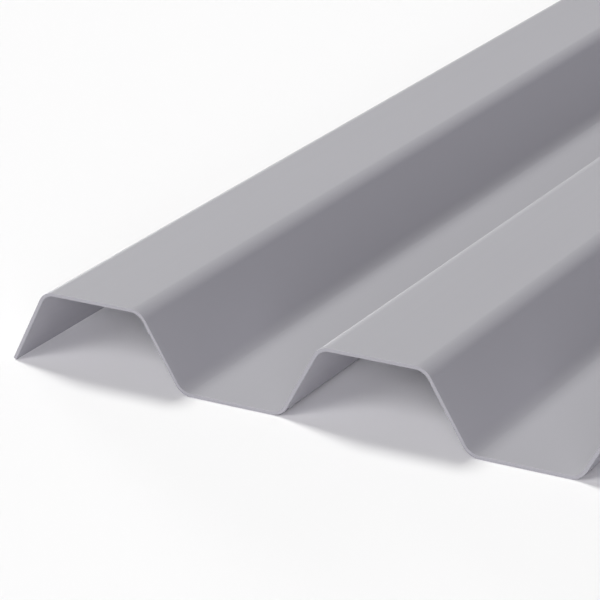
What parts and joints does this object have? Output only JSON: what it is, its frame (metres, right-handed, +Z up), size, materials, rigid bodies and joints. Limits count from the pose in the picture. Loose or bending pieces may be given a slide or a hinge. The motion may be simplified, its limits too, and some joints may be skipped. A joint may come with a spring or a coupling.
{
  "type": "polycarbonate roof sheet",
  "caption": "Opaque grey trapezoidal wave sheet of thin solid polycarbonate for light roofs, with a side leg bent down along each long edge.",
  "frame": {"origin": "middle of the sheet, at the level of the valleys' undersides", "axes": "+X across the waves, +Y along the waves, +Z up, away from the roof"},
  "size_m": [1.0946, 2, 0.018],
  "materials": {
    "grey_polycarbonate": "opaque light grey, satin, extruded"
  },
  "bodies": {
    "root": {"roof_sheet": "grey_polycarbonate"}
  },
  "joints": []
}
